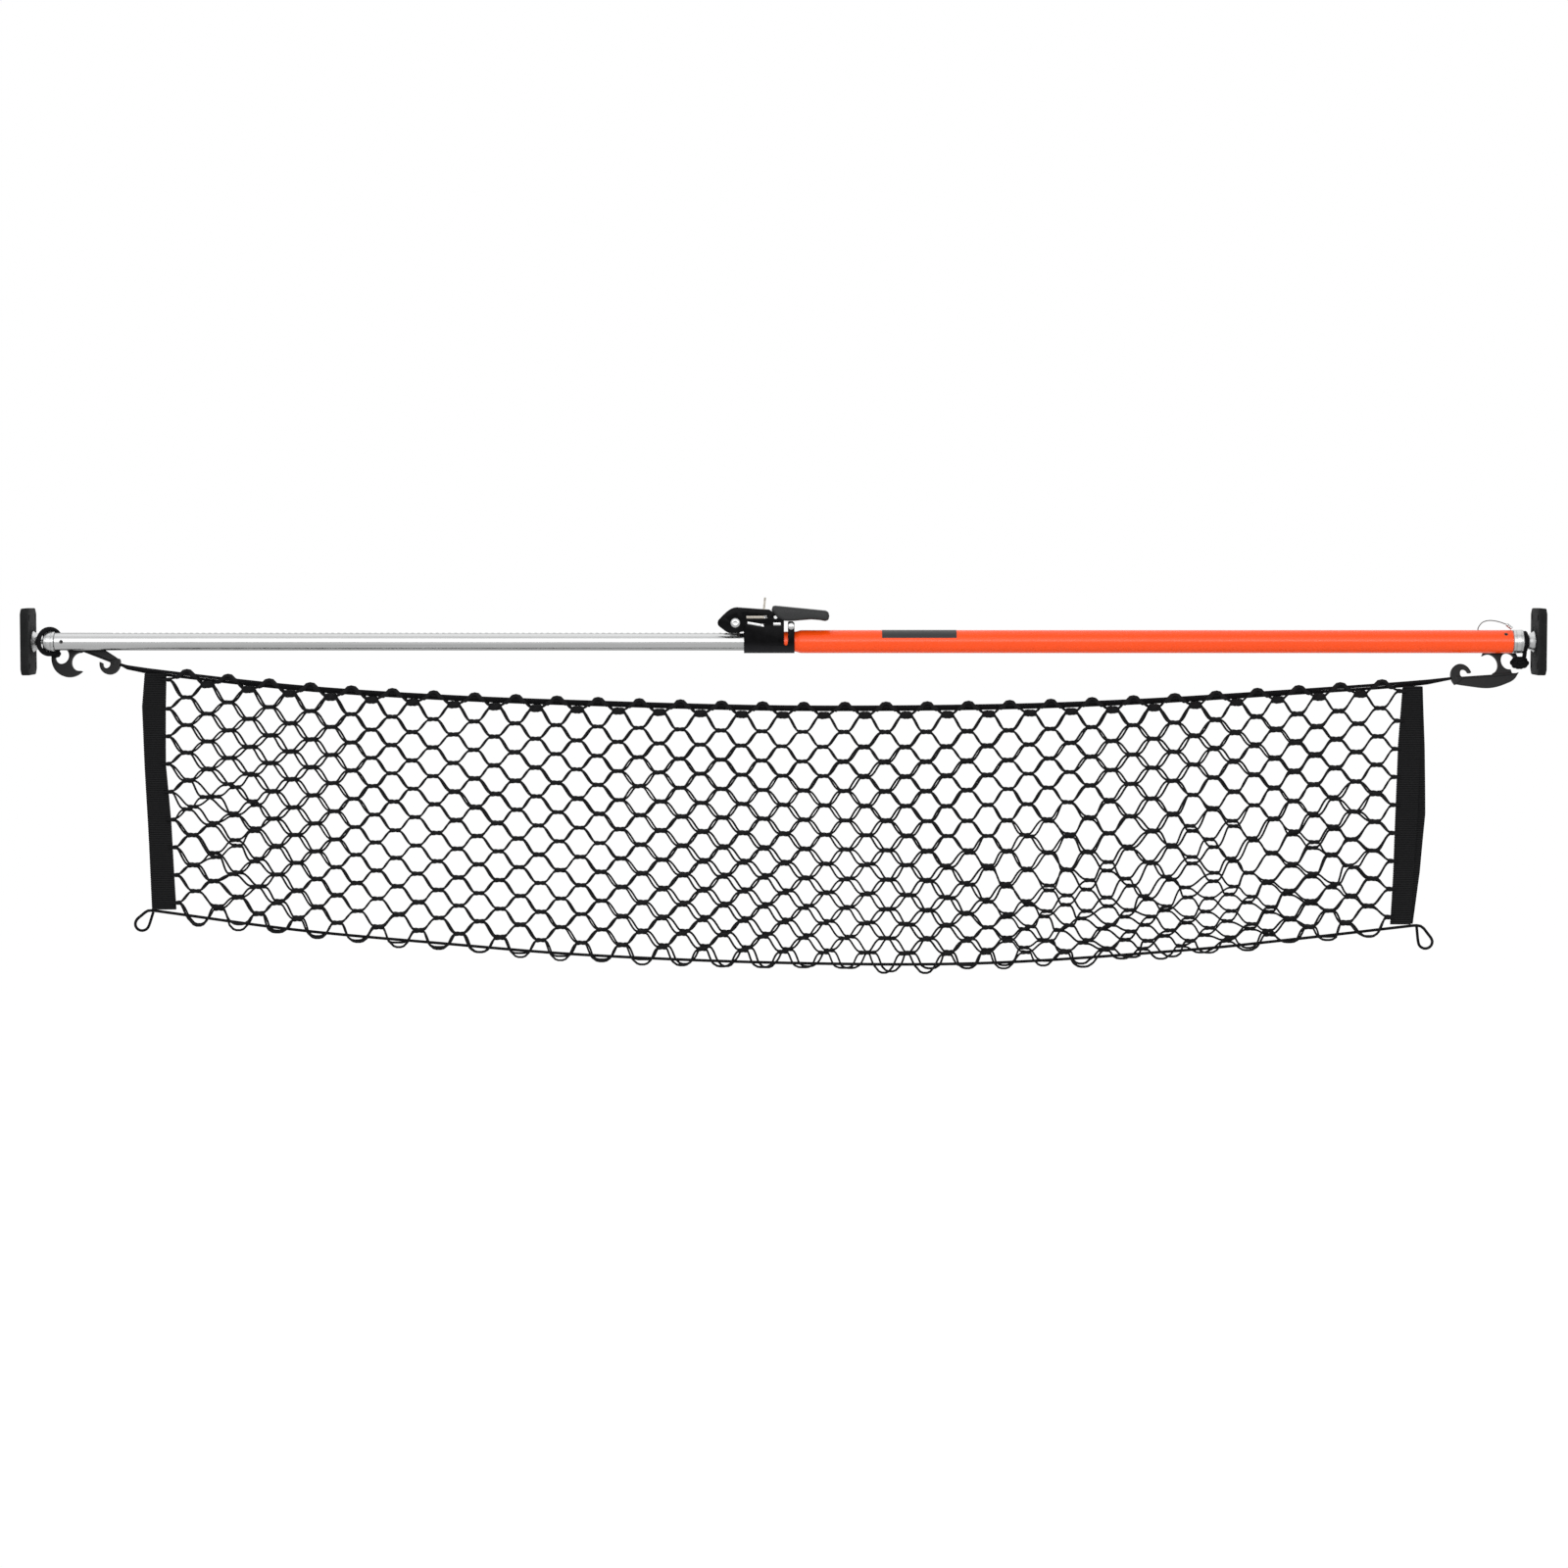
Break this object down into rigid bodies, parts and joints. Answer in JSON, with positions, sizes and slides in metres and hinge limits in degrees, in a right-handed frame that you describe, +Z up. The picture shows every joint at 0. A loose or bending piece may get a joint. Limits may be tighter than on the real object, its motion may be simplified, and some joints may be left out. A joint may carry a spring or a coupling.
{
  "type": "bed cargo bar",
  "caption": "Telescopic ratcheting cargo bar that braces across a truck bed between swivelling rubber pads, with a hooked cargo net hung below it.",
  "frame": {"origin": "on the bar's axis, at the face of the right pad", "axes": "+X along the bar, out of the right pad; +Z up; -Y towards the viewer of the picture"},
  "size_m": [1.778, 0.05, 0.4327],
  "materials": {
    "orange_enamel": "semi-gloss",
    "zinc_steel": "satin",
    "black_enamel": "satin",
    "black_rubber": "matte",
    "black_plastic": "satin",
    "grip_rubber": "matte",
    "white_nylon": "satin",
    "black_textile": "woven"
  },
  "bodies": {
    "outer_bar": {"outer_tube": "orange_enamel", "right_end_plug": "zinc_steel", "right_plug_pin": "zinc_steel", "ratchet_housing": "black_enamel", "gear_axle": "zinc_steel", "gear_spacer_front": "zinc_steel", "gear_spacer_back": "zinc_steel", "clamp_rivet": "zinc_steel", "spring_stop": "zinc_steel", "hold_pawl_spring": "zinc_steel", "tether_wire": "zinc_steel", "tether_crimp": "zinc_steel"},
    "inner_bar": {"inner_tube": "zinc_steel", "left_end_plug": "zinc_steel", "left_plug_pin": "zinc_steel", "guide_bush": "white_nylon"},
    "gear": {"ratchet_gear": "zinc_steel"},
    "handle": {"handle_frame": "black_enamel", "handle_grip": "grip_rubber", "spring_seat_pin": "zinc_steel", "drive_pawl_spring": "zinc_steel"},
    "drive_pawl_body": {"drive_pawl": "zinc_steel"},
    "hold_pawl_body": {"hold_pawl": "zinc_steel"},
    "left_liner_body": {"left_ball_liner": "white_nylon"},
    "left_foot": {"left_pad": "black_rubber", "left_socket": "zinc_steel"},
    "right_liner_body": {"right_ball_liner": "white_nylon"},
    "right_foot": {"right_pad": "black_rubber", "right_socket": "zinc_steel"},
    "left_hook_body": {"left_hook": "black_plastic", "left_loop": "black_textile"},
    "net": {"right_hook": "black_plastic", "right_loop": "black_textile", "net_mesh": "black_textile", "front_top_cord": "black_textile", "back_top_cord": "black_textile", "bottom_cord": "black_textile", "left_webbing": "black_textile", "right_webbing": "black_textile", "left_corner_loop": "black_textile", "right_corner_loop": "black_textile"}
  },
  "joints": [
    {"name": "tube_slide", "type": "slide", "parent": "outer_bar", "child": "inner_bar", "axis": [1, 0, 0], "range_m": [0, 0.72], "deforming": ["net_mesh", "front_top_cord", "back_top_cord", "bottom_cord", "left_webbing", "right_webbing", "left_corner_loop", "right_corner_loop"]},
    {"name": "gear_turn", "type": "hinge", "parent": "outer_bar", "child": "gear", "pos_m": [-0.9453, 0, 0.02221], "axis": [0, 1, 0], "continuous": true},
    {"name": "handle_lift", "type": "hinge", "parent": "outer_bar", "child": "handle", "pos_m": [-0.9453, 0, 0.02221], "axis": [0, -1, 0], "range_deg": [0, 95]},
    {"name": "release_tab", "type": "slide", "parent": "handle", "child": "drive_pawl_body", "axis": [1, 0, 0], "range_m": [0, 0.003], "stiffness_N_per_m": 600, "springref_m": -0.002, "deforming": ["drive_pawl_spring"]},
    {"name": "hold_pawl_slide", "type": "slide", "parent": "outer_bar", "child": "hold_pawl_body", "axis": [0.9848, 0, -0.1736], "range_m": [0, 0.003], "stiffness_N_per_m": 600, "springref_m": -0.002, "deforming": ["hold_pawl_spring"]},
    {"name": "right_foot_yaw", "type": "hinge", "parent": "outer_bar", "child": "right_liner_body", "pos_m": [-0.0155, 0, 0], "axis": [0, 0, 1], "range_deg": [-10, 10]},
    {"name": "right_foot_pitch", "type": "hinge", "parent": "right_liner_body", "child": "right_foot", "pos_m": [-0.0155, 0, 0], "axis": [0, 1, 0], "range_deg": [-10, 10]},
    {"name": "left_foot_yaw", "type": "hinge", "parent": "inner_bar", "child": "left_liner_body", "pos_m": [-1.7625, 0, 0], "axis": [0, 0, 1], "range_deg": [-10, 10]},
    {"name": "left_foot_pitch", "type": "hinge", "parent": "left_liner_body", "child": "left_foot", "pos_m": [-1.7625, 0, 0], "axis": [0, 1, 0], "range_deg": [-10, 10]},
    {"name": "net_swing", "type": "hinge", "parent": "outer_bar", "child": "net", "pos_m": [0, 0, 0], "axis": [1, 0, 0], "range_deg": [-60, 60]},
    {"name": "left_hook_swing", "type": "hinge", "parent": "inner_bar", "child": "left_hook_body", "pos_m": [0, 0, 0], "axis": [1, 0, 0], "range_deg": [-60, 60]}
  ],
  "couplings": [
    {"joint": "gear_turn", "follows": "tube_slide", "rad_per_m": -87.266},
    {"joint": "left_hook_swing", "follows": "net_swing", "ratio": 1}
  ]
}
